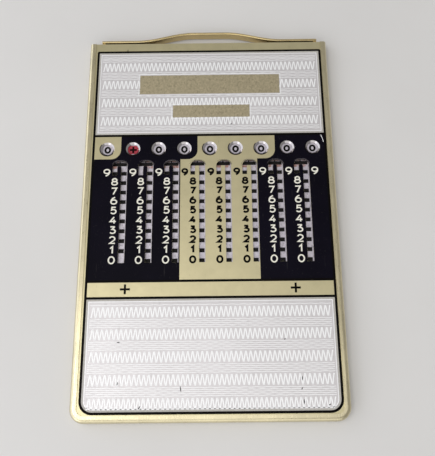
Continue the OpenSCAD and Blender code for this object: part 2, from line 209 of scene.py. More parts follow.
class ADDER_PG_number_sizes(bpy.types.PropertyGroup):
    """The numbers beside the slots and on the sliders."""

    number_w: length("Number Width", "Width of a number beside a slot", 2.95)
    number_h: length("Number Height", "Height of a number beside a slot", 3.4)
    cream_stroke: length("Cream Stroke", "Stroke width of a cream number on enamel", 0.58)
    black_stroke: length("Black Stroke", "Stroke width of a black number on gold", 0.84)
    number_left: length("Number Place", "Distance of a slot's numbers to the left of its middle", 1.75)
    number_up: length("Number Height Place", "Distance of a slot's numbers over the notch's middle", 0.15)
    nine_right: length("Nine Place", "Distance of a nine to the right of its window's middle", 0.3)
    nine_up: length("Nine Height Place", "Distance of a nine over the notch's middle", 0.1)
    strip_w: length("Slider Number Width", "Width of a number on a slider", 2.85)
    strip_h: length("Slider Number Height", "Height of a number on a slider", 3.25)
    strip_stroke: length("Slider Number Stroke", "Stroke width of a number on a slider", 0.84)
    strip_ink_t: length("Slider Ink", "Thickness of the print on a slider", 0.02)
    notch_h: length("Notch Height", "Height of a slider's notch", 1.8)
    notch_d: length("Notch Depth", "Depth of a slider's notch", 2.8)
    strip_half: length("Strip Side", "Distance of a slider's side from its middle", 5.25)
    paint_in: length("Red Paint Inside", "How near the red paint comes to the slider's middle", 2.4)
    field_half: length("Mark Field", "Half the width of the red field under the cross", 2.75)
    field_gap: length("Paint Gap", "Bare metal between a painted field and the next row", 0.2)
    mark_size: length("Mark Size", "Size of the cross one row below a slider's nought", 3.0)
    mark_w: length("Mark Stroke", "Stroke width of that cross", 0.85)


class ADDER_PG_colours(bpy.types.PropertyGroup):
    """Colours of the finishes."""

    gold: colour("Gold Lacquer", "Gold lacquer on the plates", "D3C9A2")
    plaque: colour("Gold Ink", "Bronze ink of the blank plaques", "BCB092")
    tin: colour("Tinplate", "Bare metal of the plates", "B7B2B3")
    enamel: colour("Dark Enamel", "Blue-black enamel", "090711")
    silver: colour("Silver Ink", "Ground of the patterned panels", "D6D2D2")
    shade: colour("Grey Ink", "Strip just inside the panels' borders", "B3AFA6")
    bright: colour("Bright Ink", "Zigzags and fine lines", "FFFFFE")
    black: colour("Black Ink", "Lines and numbers on gold", "070502")
    cream: colour("Cream Ink", "Numbers on the dark enamel", "EDEADB")
    red: colour("Red Ink", "Field of the mark that asks for a carry", "A81F38")
    worn: colour("Worn Paint", "Rubbed paint on the upper teeth", "B48A80")
    brass: colour("Brass", "Case and inner frame", "DACFAA")
    bow: colour("Bow", "Polished brass of the reset bow", "DAC48E")
    rubbed: colour("Rubbed Metal", "Metal that the stylus has rubbed bare", "6E686C")
    strip: colour("Slider Metal", "Bare aluminium of the sliders", "CFC9D1")
    # The guide plate's near-black is painted shade for the deep notches over it
    guide_shade: colour("Guide Plate Shade", "Guide plate between the sliders", "14110F")
    bronze: colour("Spring Bronze", "Brake springs", "B98A55")
    floor: colour("Floor", "Floor under the machine", "DDDBD8")


class ADDER_PG_stage(bpy.types.PropertyGroup):
    """Floor, lamps and camera."""

    floor_size: length("Floor Size", "Side of the floor", 3000)
    key_place: spot("Key Lamp", "Place of the lamp that draws the highlights", (-450, -80, 1000))
    key_size: length("Key Lamp Size", "Side of the key lamp", 350)
    key_power: watts("Key Lamp Power", "Power of the key lamp", 1.35)
    side_place: spot("Side Lamp", "Place of the long lamp on the left", (-1000, -150, 500))
    side_size: length("Side Lamp Length", "Length of the side lamp", 2600)
    side_power: watts("Side Lamp Power", "Power of the side lamp", 10)
    front_place: spot("Front Lamp", "Place of the long lamp on the near side", (-200, -1000, 500))
    front_size: length("Front Lamp Length", "Length of the front lamp", 1700)
    front_power: watts("Front Lamp Power", "Power of the front lamp", 4.4)
    top_place: spot("Top Lamp", "Place of the lamp over the machine", (-150, -160, 1200))
    top_size: length("Top Lamp Size", "Side of the top lamp", 900)
    top_power: watts("Top Lamp Power", "Power of the top lamp", 2.5)
    strip_height: length("Strip Height", "Height of the side and front lamps", 1000)
    world_strength: bpy.props.FloatProperty(name="Room", description="Light of the room", default=0.43)
    focal: bpy.props.FloatProperty(
        name="Lens", description="Focal length on a 36 mm sensor", default=51.13, unit="CAMERA"
    )
    camera_place: spot("Camera", "Place of the camera", (4.417, -92.146, 257.385))
    camera_turn: bpy.props.FloatVectorProperty(
        name="Camera Turn",
        description="Turn of the camera about X, Y and Z",
        default=tuple(math.radians(a) for a in (18.243, 0.403, -0.533)),
        subtype="EULER",
        unit="ROTATION",
    )


GROUPS = {
    "adder_plate": ADDER_PG_plate_sizes,
    "adder_zigzag": ADDER_PG_zigzag_sizes,
    "adder_slot": ADDER_PG_slot_sizes,
    "adder_number": ADDER_PG_number_sizes,
    "adder_colour": ADDER_PG_colours,
    "adder_stage": ADDER_PG_stage,
}


# ---- flat shapes ----


def arc(x, y, rx, ry, start, end, steps=12):
    """Points along an elliptical arc between two angles in degrees."""
    angles = [math.radians(start + (end - start) * i / steps) for i in range(steps + 1)]
    return [(x + rx * math.cos(a), y + ry * math.sin(a)) for a in angles]


def ring(x, y, rx, ry, steps=24):
    """Points round a whole ellipse."""
    return arc(x, y, rx, ry, 0, 360, steps)[:-1]


def box_outline(left, right, low, top):
    """Corners of an upright rectangle, anticlockwise."""
    return [(left, low), (right, low), (right, top), (left, top)]


def rounded(corners):
    """An outline whose right-angled corners, given as x, y and radius, are rounded off."""
    outline = []
    for i, (x, y, r) in enumerate(corners):
        corner = Vector((x, y))
        if not r:
            outline.append((x, y))
            continue
        before = (Vector(corners[i - 1][:2]) - corner).normalized() * r
        after = (Vector(corners[(i + 1) % len(corners)][:2]) - corner).normalized() * r
        for k in range(CORNER_STEPS + 1):
            turn = math.pi / 2 * k / CORNER_STEPS
            point = corner + before * (1 - math.sin(turn)) + after * (1 - math.cos(turn))
            outline.append(tuple(point))
    return outline


def stroke_sides(points, width, closed):
    """The two sides of a stroke along a line, mitred where the line turns."""
    line = [Vector(p) for p in points]
    last = len(line) - 1
    left, right = [], []
    for i, point in enumerate(line):
        before = point - line[i - 1] if closed or i > 0 else line[1] - point
        after = line[(i + 1) % len(line)] - point if closed or i < last else point - line[i - 1]
        before.normalize()
        after.normalize()
        along = (before + after).normalized()
        across = Vector((-along.y, along.x)) * (width / 2 / max(along.dot(after), MITRE_LIMIT))
        left.append(point + across)
        right.append(point - across)
    return left, right


class Film:
    """Flat shapes on one level, laid down as closed solids of one thickness."""

    def __init__(self, low, thickness):
        # The second mesh takes strokes that cross those in the first, and is joined to it at the end
        self.meshes = [bmesh.new(), bmesh.new()]
        self.low = low
        self.high = low + thickness

    def solid(self, left, right, closed, layer=0):
        """A band between two lines of points."""
        mesh = self.meshes[layer]
        sides = [
            [[mesh.verts.new((x, y, z)) for x, y in line] for line in (left, right)]
            for z in (self.low, self.high)
        ]
        (low_left, low_right), (high_left, high_right) = sides
        for i in range(0 if closed else 1, len(left)):
            mesh.faces.new((high_left[i - 1], high_right[i - 1], high_right[i], high_left[i]))
            mesh.faces.new((low_left[i], low_right[i], low_right[i - 1], low_left[i - 1]))
            mesh.faces.new((low_left[i - 1], high_left[i - 1], high_left[i], low_left[i]))
            mesh.faces.new((low_right[i], high_right[i], high_right[i - 1], low_right[i - 1]))
        if not closed:
            mesh.faces.new((low_left[0], low_right[0], high_right[0], high_left[0]))
            mesh.faces.new((high_left[-1], high_right[-1], low_right[-1], low_left[-1]))

    def area(self, outline):
        """A filled shape with this outline."""
        mesh = self.meshes[0]
        low, high = [[mesh.verts.new((x, y, z)) for x, y in outline] for z in (self.low, self.high)]
        mesh.faces.new(high)
        mesh.faces.new(low[::-1])
        for i in range(len(outline)):
            mesh.faces.new((low[i - 1], low[i], high[i], high[i - 1]))

    def stroke(self, points, width, closed=False, layer=0):
        """A stroke of this width along a line."""
        left, right = stroke_sides(points, width, closed)
        self.solid(left, right, closed, layer)

    def digit(self, number, x, y, width, height, stroke):
        """A number drawn with strokes, so that its outside measures width by height."""
        for layer, (points, closed) in enumerate(NUMBER_STROKES[number]):
            placed = [(x + px * (width - stroke), y + py * (height - stroke)) for px, py in points]
            self.stroke(placed, stroke, closed, layer)

    def object_of(self, mesh, name, place):
        """An object made of one mesh, with its faces turned outwards."""
        data = bpy.data.meshes.new(name)
        bmesh.ops.recalc_face_normals(mesh, faces=mesh.faces)
        mesh.to_mesh(data)
        mesh.free()
        data.transform(place)
        piece = bpy.data.objects.new(name, data)
        bpy.context.scene.collection.objects.link(piece)
        return piece

    def lay(self, name, place, material=None, body=None, slot="printed_plate"):
        """Turns the shapes into a piece at its place, with its finish, riding on a body."""
        first, second = self.meshes
        crossing = len(second.faces) > 0
        piece = self.object_of(first, name, place)
        if crossing:
            combine(piece, self.object_of(second, f"{name}_crossing", place), "UNION")
        if body:
            piece.data.materials.clear()
            piece.data.materials.append(material)
            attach(piece, body)
        return piece


def turned(strokes):
    """A number's strokes turned upside down."""
    return [([(-x, -y) for x, y in points], closed) for points, closed in strokes]


SIX = [(ring(0, -0.18, 0.5, 0.32), True), (arc(0.42, -0.18, 0.92, 0.74, 180, 104, 10), False)]

# Each number is one or two strokes in a box one wide and one high; the flag says that a stroke is closed
NUMBER_STROKES = {
    0: [(ring(0, 0, 0.5, 0.5, 28), True)],
    1: [([(-0.28, 0.22), (0.12, 0.5), (0.12, -0.5)], False)],
    2: [(arc(0, 0.18, 0.45, 0.32, 165, -38), False), ([(0.36, -0.02), (-0.4, -0.5), (0.5, -0.5)], False)],
    3: [
        ([(-0.4, 0.5), (0.4, 0.5)], False),
        ([(0.34, 0.46), (-0.1, 0.12)] + arc(0, -0.2, 0.47, 0.3, 70, -150), False),
    ],
    4: [([(0.18, 0.5), (-0.46, -0.2), (0.5, -0.2)], False), ([(0.2, 0.1), (0.2, -0.5)], False)],
    5: [([(0.4, 0.5), (-0.25, 0.5)] + arc(-0.01, -0.17, 0.47, 0.33, 128, -150), False)],
    6: SIX,
    7: [([(-0.46, 0.5), (0.42, 0.5), (-0.16, -0.5)], False)],
    8: [(ring(0, 0.26, 0.38, 0.24), True), (ring(0, -0.22, 0.48, 0.28), True)],
    9: turned(SIX),
}


def side_place(side, x=0, y=0):
    """Where a side's artwork goes: the back's is turned over, top to bottom."""
    turn = Matrix.Rotation(math.pi if side == "back" else 0, 4, "X")
    return Matrix.Translation(MIDDLE + Vector((x, y, 0))) @ turn


def combine(piece, other, operation):
    """Joins two shapes or cuts one out of the other, a thousand times larger because films are thin."""
    for data in (piece.data, other.data):
        data.transform(Matrix.Scale(1 / MM, 4))
    change = piece.modifiers.new("combine", "BOOLEAN")
    change.operation = operation
    change.solver = "EXACT"
    change.object = other
    result = piece.evaluated_get(bpy.context.evaluated_depsgraph_get())
    piece.data = bpy.data.meshes.new_from_object(result)
    piece.data.transform(Matrix.Scale(MM, 4))
    piece.modifiers.clear()
    bpy.data.objects.remove(other)


def cutter():
    """A film that cuts right through the print."""
    return Film(PLATE_Z - CUT, 2 * CUT)


def slot_outline(sizes, x, margin):
    """Outline of a hooked slot, larger by a margin all round."""
    tongue = sizes.tongue_w / 2 - margin
    left = x - sizes.tongue_w / 2 - sizes.hook_w - margin
    right = x + sizes.tongue_w / 2 + sizes.leg_w + margin
    arch = sizes.arch_y + margin
    tip = sizes.tip_y - margin
    return rounded(
        [
            (left, sizes.hook_low - margin, 0),
            (x - tongue, sizes.hook_low - margin, 0),
            (x - tongue, tip, sizes.tongue_r),
            (x + tongue, tip, sizes.tongue_r),
            (x + tongue, sizes.leg_low - margin, 0),
            (right, sizes.leg_low - margin, 0),
            (right, arch, sizes.arch_r + margin),
            (left, arch, sizes.arch_r + margin),
        ]
    )


def gold_fields(sizes):
    """Outlines of the gold tab and the gold field that the dark enamel leaves open."""
    top = sizes.panel_top
    tab = rounded(
        [
            (sizes.border_left, sizes.tab_low, 0),
            (sizes.tab_right, sizes.tab_low, sizes.field_r),
            (sizes.tab_right, top, 0),
            (sizes.border_left, top, 0),
        ]
    )
    field = rounded(
        [
            (sizes.lower_left, sizes.band_top, 0),
            (sizes.lower_right, sizes.band_top, 0),
            (sizes.lower_right, sizes.upper_low, 0),
            (sizes.upper_right, sizes.upper_low, sizes.field_r),
            (sizes.upper_right, top, 0),
            (sizes.upper_left, top, 0),
            (sizes.upper_left, sizes.upper_low, sizes.field_r),
            (sizes.lower_left, sizes.upper_low, 0),
        ]
    )
    return tab, field


def border_outline(sizes, inset, low=None, top=None):
    """Outline of the border line drawn in by some distance, or of the part of it between two heights."""
    left = sizes.border_left + inset
    right = sizes.border_right - inset
    low_r = 0 if low is not None else sizes.border_r - inset
    top_r = 0 if top is not None else max(sizes.border_top_r - inset, 0)
    low = sizes.border_low + inset if low is None else low
    top = sizes.border_top - inset if top is None else top
    return rounded([(left, low, low_r), (right, low, low_r), (right, top, top_r), (left, top, top_r)])


def panel_outline(sizes, panel, inset):
    """Outline of a silver panel, drawn in by some distance."""
    if panel == "top":
        return border_outline(sizes, inset, low=sizes.panel_top + inset)
    return border_outline(sizes, inset, top=sizes.band_low - inset)


def plaques(sizes):
    """The two blank plaques on the top panel."""
    large = box_outline(sizes.plaque_left, sizes.plaque_right, sizes.plaque_low, sizes.plaque_top)
    small = box_outline(sizes.small_left, sizes.small_right, sizes.small_low, sizes.small_top)
    return large, small


def on_gold(sizes, x, y):
    """Whether a number beside a slot stands on the gold field."""
    return sizes.lower_left < x < sizes.lower_right and y < sizes.upper_low


def zigzag(left, right, y, sizes):
    """The line of one row of zigzags."""
    half = (sizes.row_h - sizes.stroke_w) / 2
    count = round((right - left) / sizes.period * 2)
    step = (right - left) / count
    line = []
    for i in range(count + 1):
        x = left + i * step
        height = half if i % 2 else -half
        line += [(x - sizes.tip_w / 2, y + height), (x + sizes.tip_w / 2, y + height)]
    return line


def wavy_line(left, right, y, sizes, phase):
    """One of the fine ruled lines, which swing gently up and down."""
    count = round((right - left) / sizes.rule_period * WAVE_POINTS)
    step = (right - left) / count
    half = sizes.rule_wave / 2
    turns = [math.pi * (2 * i / WAVE_POINTS + phase) for i in range(count + 1)]
    return [(left + i * step, y + half * math.sin(turn)) for i, turn in enumerate(turns)]


def row_y(row, pitch):
    """Height of a row of notches; the middle of the case lies between rows 4 and 5."""
    return (row - 4.5) * pitch


# ---- finishes ----

# Rolling lines, hairline scratches and powder flakes are far finer on the real metal and print. Here
# they are drawn as coarse as they need to be to show


def feed(tree, node, inputs):
    """Gives a node's inputs what they take: a value, a node or one of a node's outputs."""
    for name, value in inputs.items():
        if isinstance(value, bpy.types.Node):
            value = next(socket for socket in value.outputs if socket.enabled)
        if isinstance(value, bpy.types.NodeSocket):
            tree.links.new(value, node.inputs[name])
        else:
            node.inputs[name].default_value = value


def add_node(tree, kind, inputs=None, **settings):
    """Adds a node with its inputs and settings."""
    new = tree.nodes.new(kind)
    for name, value in settings.items():
        setattr(new, name, value)
    feed(tree, new, inputs or {})
    return new


def toned(base, factor=1.0):
    """A colour made darker or lighter, ready for a colour socket."""
    return (*[min(c * factor, 1) for c in base], 1)


class Finish:
    """A material in the making: its shader, its nodes and the colour laid so far."""

    def __init__(self, name, base):
        self.material = bpy.data.materials.new(name)
        self.material.use_nodes = True
        self.tree = self.material.node_tree
        self.shader = self.tree.nodes["Principled BSDF"]
        self.place = add_node(self.tree, "ShaderNodeTexCoord").outputs["Object"]
        self.colour = base

    def grain(self, size_mm, low, high, most=1.0, stretch=(1, 1, 1), detail=3.0):
        """Noise in grains of about size_mm, drawn out by a small stretch, cut between low and high."""
        place = add_node(self.tree, "ShaderNodeMapping", {"Vector": self.place, "Scale": stretch})
        scale = 1 / (size_mm * MM)
        inputs = {"Vector": place, "Scale": scale, "Detail": detail}
        noise = add_node(self.tree, "ShaderNodeTexNoise", inputs)
        cut = {"Value": noise, "From Min": low, "From Max": high, "To Max": most}
        return add_node(self.tree, "ShaderNodeMapRange", cut)

    def layer(self, tint, pattern):
        """Lays a tint over the colour so far, wherever the pattern is strong."""
        inputs = {MIX_FACTOR: pattern, MIX_UNDER: self.colour, MIX_OVER: tint}
        self.colour = add_node(self.tree, "ShaderNodeMix", inputs, data_type="RGBA")

    def done(self, rough, pattern, relief_mm, metallic=0.0, relief=None):
        """Sets the shader: roughness between two values after a pattern, relief after it or another."""
        spread_inputs = {"Value": pattern, "To Min": rough[0], "To Max": rough[1]}
        bump_inputs = {"Height": relief or pattern, "Distance": relief_mm * MM}
        shader_inputs = {
            "Base Color": self.colour,
            "Roughness": add_node(self.tree, "ShaderNodeMapRange", spread_inputs),
            "Normal": add_node(self.tree, "ShaderNodeBump", bump_inputs),
            "Metallic": metallic,
        }
        feed(self.tree, self.shader, shader_inputs)
        return self.material


def lacquered_brass(name, base, rough, drawn):
    """Rolled brass under clear lacquer, dull in patches and specked: soft, warm, drawn-out highlights."""
    brass = Finish(name, toned(base, 1.05))
    brass.layer(toned(base, 0.84), brass.grain(14, 0.35, 0.7, detail=4))
    brass.layer(toned(base, 0.66), brass.grain(0.7, 0.62, 0.78, 0.4, stretch=drawn))
    brass.layer(toned(base, 0.4), brass.grain(0.9, 0.72, 0.76, 0.6, detail=2))
    lines = brass.grain(0.5, 0.3, 0.7, stretch=drawn, detail=4)
    feed(brass.tree, brass.shader, {"Coat Weight": 0.8, "Coat Roughness": 0.12})
    return brass.done((rough - 0.06, rough + 0.08), lines, 0.01, 1)


def printed_tinplate(colours):
    """Tinplate under gold lacquer, bare and shiny where it is pressed or cut: satin, slightly mottled."""
    plate = Finish("tinplate_gold_lacquered", toned(colours.gold, 0.96))
    plate.layer(toned(colours.gold, 1.05), plate.grain(5, 0.3, 0.7, detail=5))
    plate.layer(toned(colours.gold, 0.72), plate.grain(0.45, 0.66, 0.76, 0.8, stretch=(1, 0.2, 1)))
    normal = add_node(plate.tree, "ShaderNodeNewGeometry").outputs["Normal"]
    parts = add_node(plate.tree, "ShaderNodeSeparateXYZ", {"Vector": normal})
    level = add_node(plate.tree, "ShaderNodeMath", {0: parts.outputs["Z"]}, operation="ABSOLUTE")
    slope = {"Value": level, "From Min": 0.99, "From Max": 0.96}
    pressed = add_node(plate.tree, "ShaderNodeMapRange", slope)
    plate.layer(toned(colours.tin), pressed)
    fine = plate.grain(0.4, 0.3, 0.7, stretch=(1, 0.2, 1))
    return plate.done((0.4, 0.14), pressed, 0.005, 0.95, relief=fine)


def dark_enamel(colours):
    """Stoved enamel, blue-black and smooth, with hairline scratches, scuffs and a little dust."""
    enamel = Finish("stoved_dark_enamel", toned(colours.enamel, 0.85))
    enamel.layer(toned(colours.enamel, 1.5), enamel.grain(20, 0.3, 0.7))
    enamel.layer(toned(colours.tin, 0.12), enamel.grain(0.5, 0.68, 0.8, 0.5, stretch=(1, 0.05, 1)))
    enamel.layer(toned(colours.cream, 0.2), enamel.grain(0.35, 0.72, 0.8, 0.5, detail=1))
    feed(enamel.tree, enamel.shader, {"Specular IOR Level": 0.06})
    return enamel.done((0.3, 0.42), enamel.grain(0.8, 0.3, 0.7), 0.004)


def silver_ink(colours):
    """Silver ink over lacquered tinplate: pale and slightly pink, clouded, with rubbed specks."""
    ink = Finish("silver_printing_ink", toned(colours.silver, 0.98))
    ink.layer(toned(colours.silver, 1.06), ink.grain(16, 0.3, 0.7))
    ink.layer(toned(colours.silver, 0.86), ink.grain(1.2, 0.55, 0.75, 0.6, stretch=(1, 0.4, 1)))
    ink.layer(toned(colours.silver, 0.5), ink.grain(0.5, 0.76, 0.82, 0.7, detail=1))
    return ink.done((0.38, 0.5), ink.grain(0.6, 0.3, 0.7), 0.006, 0.5)


def bronze_ink(colours):
    """Gold bronze powder in varnish: satin, and speckled light and dark by the powder's flakes."""
    ink = Finish("gold_bronze_ink", toned(colours.plaque, 0.98))
    ink.layer(toned(colours.plaque, 1.2), ink.grain(0.7, 0.45, 0.62, 0.8, detail=4))
    ink.layer(toned(colours.plaque, 0.66), ink.grain(0.9, 0.52, 0.68, 0.7, stretch=(1, 0.6, 1), detail=4))
    return ink.done((0.4, 0.55), ink.grain(0.5, 0.3, 0.7), 0.008, 0.85)


def flat_ink(name, base, rough, patchy, worn, shine=0.3, metallic=0.0):
    """Printing ink: even and nearly matt, worn a little towards another colour in small patches."""
    if name in bpy.data.materials:
        return bpy.data.materials[name]
    ink = Finish(name, toned(base))
    thin = ink.grain(0.6, 0.4, 0.75, patchy)
    ink.layer(toned(worn), thin)
    feed(ink.tree, ink.shader, {"Specular IOR Level": shine})
    return ink.done((rough, rough + 0.15), thin, 0.004, metallic)


def worn_paint(colours):
    """Thin red paint that the stylus has rubbed down to brown and to bare metal in spots."""
    paint = Finish("rubbed_red_paint", toned(colours.worn))
    paint.layer(toned(colours.worn, 0.45), paint.grain(0.8, 0.45, 0.62, 0.6, stretch=(1, 0.6, 1), detail=5))
    paint.layer(toned(colours.strip, 0.95), paint.grain(1.3, 0.46, 0.6, 0.9, stretch=(1, 0.5, 1), detail=5))
    return paint.done((0.35, 0.55), paint.grain(0.5, 0.3, 0.7), 0.006, 0.35)


def drawn_metal(name, base, rough, metallic=1.0):
    """Sheet or wire with fine lines along its length from rolling, and slight stains."""
    metal = Finish(name, toned(base, 0.92))
    lines = metal.grain(0.25, 0.3, 0.7, stretch=(1, 0.04, 1))
    metal.layer(toned(base, 1.06), lines)
    metal.layer(toned(base, 0.7), metal.grain(3, 0.45, 0.75, 0.6, detail=4))
    return metal.done((rough - 0.05, rough + 0.1), lines, 0.006, metallic)


def handled_strip(colours):
    """Aluminium strip, rolled and then rubbed by the stylus: dull lilac grey, grimy in patches."""
    strip = Finish("aluminium_strip_rolled", toned(colours.strip))
    lines = strip.grain(0.3, 0.3, 0.7, stretch=(1, 0.08, 1))
    rubbed = strip.grain(1.1, 0.45, 0.65, 0.8, stretch=(1, 0.6, 1), detail=4)
    strip.layer(toned(colours.strip, 1.22), rubbed)
    grime_and_shade = strip.grain(0.9, 0.55, 0.72, 0.8, stretch=(1, 0.5, 1), detail=5)
    strip.layer(toned(colours.strip, 0.5), grime_and_shade)
    return strip.done((0.38, 0.55), lines, 0.008, 0.6)


def painted_floor(colours):
    """Smooth painted board: pale, even, with a faint mottle."""
    paint = Finish("painted_floor_board", toned(colours.floor, 0.98))
    mottle = paint.grain(60, 0.3, 0.7)
    paint.layer(toned(colours.floor, 1.02), mottle)
    return paint.done((0.8, 0.9), mottle, 0)


def black_ink(colours):
    """Black ink of the lines and of the numbers on gold: dense, with a slight brown cast."""
    return flat_ink("black_printing_ink", colours.black, 0.45, 0.3, colours.enamel, 0.06)


def bright_ink(colours):
    """Bright silver ink of the zigzags and fine lines, worn to the grey silver below."""
    return flat_ink("bright_silver_ink", colours.bright, 0.4, 0.15, colours.silver, 0.5, 0.15)


def dress(nodes, material):
    """Gives CAD pieces their finish."""
    for node in nodes:
        for material_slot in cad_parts[node].material_slots:
            material_slot.material = material


# ---- operators ----


class ADDER_OT_case(bpy.types.Operator):
    """Finishes the folded brass rim, the inner frame and its rivets"""

    bl_idname = "adder.case"
    bl_label = "Case and Inner Frame"

    def execute(self, context):
        colours = context.scene.adder_colour
        rim = lacquered_brass("brass_sheet_lacquered", colours.brass, 0.3, (1, 0.08, 1))
        spacers = drawn_metal("brass_strip_rolled", [c * 0.7 for c in colours.brass], 0.35)
        rivets = drawn_metal("brass_wire_riveted", [c * 0.9 for c in colours.brass], 0.3)
        rails = [f"{side}_rail_{hand}" for side in SIDES for hand in ("left", "right")]
        dress(["rim"], rim)
        dress(rails + ["front_top_bar", "back_top_bar", "back_bottom_bar"], spacers)
        dress(["frame_rivets", "reset_rivets"] + [f"slider_rivets_{i}" for i in SLIDERS], rivets)
        return {"FINISHED"}


class ADDER_OT_plates(bpy.types.Operator):
    """Finishes the pressed plates: gold lacquer on the face, bare metal in the dishes and slots"""

    bl_idname = "adder.plates"
    bl_label = "Pressed Plates"

    def execute(self, context):
        dress(["front_plate", "back_plate"], printed_tinplate(context.scene.adder_colour))
        return {"FINISHED"}


class ADDER_OT_dark_panels(bpy.types.Operator):
    """Lays dark enamel over the middle of both plates, leaving the gold fields, windows and slots"""

    bl_idname = "adder.dark_panels"
    bl_label = "Dark Panels"

    def execute(self, context):
        sizes = context.scene.adder_plate
        openings = context.scene.adder_slot
        enamel = dark_enamel(context.scene.adder_colour)
        r = openings.dish_d / 2 + openings.bare_edge
        for side in SIDES:
            place = side_place(side)
            panel = Film(PLATE_Z, sizes.film_t)
            panel.area(box_outline(sizes.border_left, sizes.border_right, sizes.band_top, sizes.panel_top))
            piece = panel.lay(f"{side}_dark_enamel", place, enamel, "case")
            fields = cutter()
            for outline in gold_fields(sizes):
                fields.area(outline)
            combine(piece, fields.lay("fields", place), "DIFFERENCE")
            holes = cutter()
            for x in SLIDER_X.values():
                holes.area(ring(x, openings.window_y, r, r, 48))
            for x in SLOT_X.values():
                holes.area(slot_outline(openings, x, openings.bare_edge))
            combine(piece, holes.lay("holes", place), "DIFFERENCE")
        return {"FINISHED"}


class ADDER_OT_silver_panels(bpy.types.Operator):
    """Lays the silver grounds at the top and bottom of both plates, and two blank gold plaques"""

    bl_idname = "adder.silver_panels"
    bl_label = "Silver Panels and Blank Plaques"

    def execute(self, context):
        sizes = context.scene.adder_plate
        colours = context.scene.adder_colour
        silver = silver_ink(colours)
        gold = bronze_ink(colours)
        rim = sizes.line_w / 2
        for side in SIDES:
            place = side_place(side)
            ground = Film(PLATE_Z, sizes.film_t)
            for panel in PANELS:
                ground.area(panel_outline(sizes, panel, 0))
            ground.lay(f"{side}_silver_ground", place, silver, "case")
            blank = Film(PLATE_Z, sizes.plaque_t)
            edge = Film(PLATE_Z, sizes.plaque_t)
            for outline in plaques(sizes):
                blank.area(outline)
                (left, low), _, (right, top), _ = outline
                around = box_outline(left - rim, right + rim, low - rim, top + rim)
                edge.stroke(around, sizes.plaque_edge, closed=True)
            blank.lay(f"{side}_blank_plaques", place, gold, "case")
            edge.lay(f"{side}_plaque_edges", place, bright_ink(colours), "case")
        return {"FINISHED"}


class ADDER_OT_zigzags(bpy.types.Operator):
    """Draws the rows of bright zigzags, the fine ruled lines between them and the fine frame lines"""

    bl_idname = "adder.zigzags"
    bl_label = "Zigzag Rows and Ruled Lines"

    def pattern(self, film, rows, left, right, low, top, heights):
        """Fills one panel with rows of zigzags and with wavy ruled lines between the rows."""
        half = rows.row_h / 2
        for y in heights:
            film.stroke(zigzag(left + rows.stroke_w, right - rows.stroke_w, y, rows), rows.stroke_w)
        # Each gap between rows, or between a row and the panel's end, from its lower to its upper edge
        edges = [low] + [y + side * half for y in heights for side in (-1, 1)] + [top]
        for start, end in zip(edges[::2], edges[1::2]):
            count = max(round((end - start) / rows.rule_step) - 1, 0)
            for i in range(1, count + 1):
                y = start + (end - start) * i / (count + 1)
                film.stroke(wavy_line(left, right, y, rows, i % 2), rows.rule_w)

    def execute(self, context):
        sizes = context.scene.adder_plate
        rows = context.scene.adder_zigzag
        colours = context.scene.adder_colour
        grey = flat_ink("grey_printing_ink", colours.shade, 0.5, 0.4, colours.silver)
        left = sizes.border_left + rows.side_gap
        right = sizes.border_right - rows.side_gap
        gap = rows.frame_gap
        low_rows = [rows.low_first - i * rows.low_step for i in reversed(range(rows.low_rows))]
        top_rows = [rows.top_first + i * rows.top_step for i in range(rows.top_rows)]
        low_panel = (sizes.border_low + rows.side_gap, sizes.band_low - rows.side_gap)
        top_panel = (sizes.panel_top + rows.side_gap, sizes.border_top - rows.side_gap)
        for side in SIDES:
            place = side_place(side)
            edges = Film(PLATE_Z, sizes.film_t * EDGE_LAYER)
            bright = Film(PLATE_Z, sizes.film_t * BRIGHT_LAYER)
            self.pattern(bright, rows, left, right, *low_panel, low_rows)
            self.pattern(bright, rows, left, right, *top_panel, top_rows)
            for panel in PANELS:
                bright.stroke(panel_outline(sizes, panel, gap), rows.frame_w, closed=True)
                edges.stroke(panel_outline(sizes, panel, gap / 2), rows.edge_w, closed=True)
            edges.lay(f"{side}_panel_edges", place, grey, "case")
            bright.lay(f"{side}_zigzag_lines", place, bright_ink(colours), "case")
        return {"FINISHED"}


class ADDER_OT_lines(bpy.types.Operator):
    """Draws the black border and the lines between the panels"""

    bl_idname = "adder.lines"
    bl_label = "Border and Lines"

    def execute(self, context):
        sizes = context.scene.adder_plate
        ink = black_ink(context.scene.adder_colour)
        left = sizes.border_left + sizes.line_w / 2
        right = sizes.border_right - sizes.line_w / 2
        for side in SIDES:
            film = Film(PLATE_Z, sizes.ink_t)
            film.stroke(border_outline(sizes, 0), sizes.line_w, closed=True)
            for y in (sizes.panel_top, sizes.band_top, sizes.band_low):
                film.stroke([(left, y), (right, y)], sizes.line_w)
            film.lay(f"{side}_border_lines", side_place(side), ink, "case")
        return {"FINISHED"}


class ADDER_OT_slot_numbers(bpy.types.Operator):
    """Draws the numbers beside the slots: cream on the dark enamel, black on gold"""

    bl_idname = "adder.slot_numbers"
    bl_label = "Slot Numbers"

    def execute(self, context):
        sizes = context.scene.adder_plate
        numbers = context.scene.adder_number
        colours = context.scene.adder_colour
        pitch = context.scene.adder_slot.row_pitch
        inks = {
            "black": black_ink(colours),
            "cream": flat_ink("cream_printing_ink", colours.cream, 0.5, 0.2, colours.shade),
        }
        strokes = {"black": numbers.black_stroke, "cream": numbers.cream_stroke}
        nine_y = row_y(9, pitch) + numbers.nine_up
        places = [(9, x + numbers.nine_right, nine_y) for x in SLIDER_X.values()]
        for x in SLOT_X.values():
            for n in range(9):
                places.append((n, x - numbers.number_left, row_y(n, pitch) + numbers.number_up))
        for side in SIDES:
            films = {ink: Film(PLATE_Z, sizes.ink_t) for ink in inks}
            for number, x, y in places:
                ink = "black" if on_gold(sizes, x, y) else "cream"
                films[ink].digit(number, x, y, numbers.number_w, numbers.number_h, strokes[ink])
            for ink, film in films.items():
                film.lay(f"{side}_numbers_{ink}", side_place(side), inks[ink], "case")
        return {"FINISHED"}


